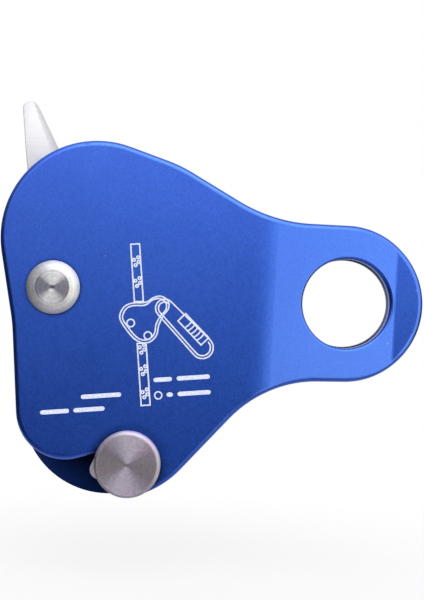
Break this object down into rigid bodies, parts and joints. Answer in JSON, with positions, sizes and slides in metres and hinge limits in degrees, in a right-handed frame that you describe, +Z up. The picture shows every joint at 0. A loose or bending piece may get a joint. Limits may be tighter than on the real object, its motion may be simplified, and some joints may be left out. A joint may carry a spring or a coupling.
{
  "type": "rope grab ascender",
  "caption": "Rope-grab ascender: joggled side plates joined at an attachment eye, a sprung toothed cam with a thumb lever, a rounded backstop and a latch stud.",
  "frame": {"origin": "centre of the attachment eye, midway between the two side plates", "axes": "+X from the cam axle to the attachment eye, +Y from the front plate to the rear plate, +Z up towards the thumb lever"},
  "size_m": [0.1139, 0.0297, 0.107],
  "materials": {
    "blue_anodised": "fine bead-blasted, blue anodised",
    "turned_steel": "turned stainless steel",
    "cam_steel": "satin cast stainless steel",
    "backstop_steel": "satin machined stainless steel",
    "spring_wire": "drawn spring wire",
    "bronze": "plain bearing bronze"
  },
  "bodies": {
    "frame": {"rear_plate": "blue_anodised", "cam_axle": "turned_steel", "cam_axle_ring": "turned_steel", "cam_washer_front": "bronze", "cam_washer_rear": "bronze", "cam_spring": "spring_wire", "spring_anchor_pin": "turned_steel", "cam_stop_pin": "turned_steel", "latch_stud": "turned_steel", "latch_stud_ring": "turned_steel", "backstop": "backstop_steel", "backstop_rivets": "turned_steel"},
    "front_plate": {"front_plate": "blue_anodised", "front_plate_bushing": "bronze"},
    "cam": {"cam": "cam_steel", "cam_bushing": "bronze"}
  },
  "joints": [
    {"name": "cam_pivot", "type": "hinge", "parent": "frame", "child": "cam", "pos_m": [-0.078, 0, 0], "axis": [0, 1, 0], "range_deg": [0, 45], "stiffness_Nm_per_rad": 0.12, "springref_deg": -34.38, "deforming": ["cam_spring"]},
    {"name": "front_plate_pivot", "type": "hinge", "parent": "frame", "child": "front_plate", "pos_m": [-0.078, 0, 0], "axis": [0, -1, 0], "range_deg": [0, 120]}
  ]
}
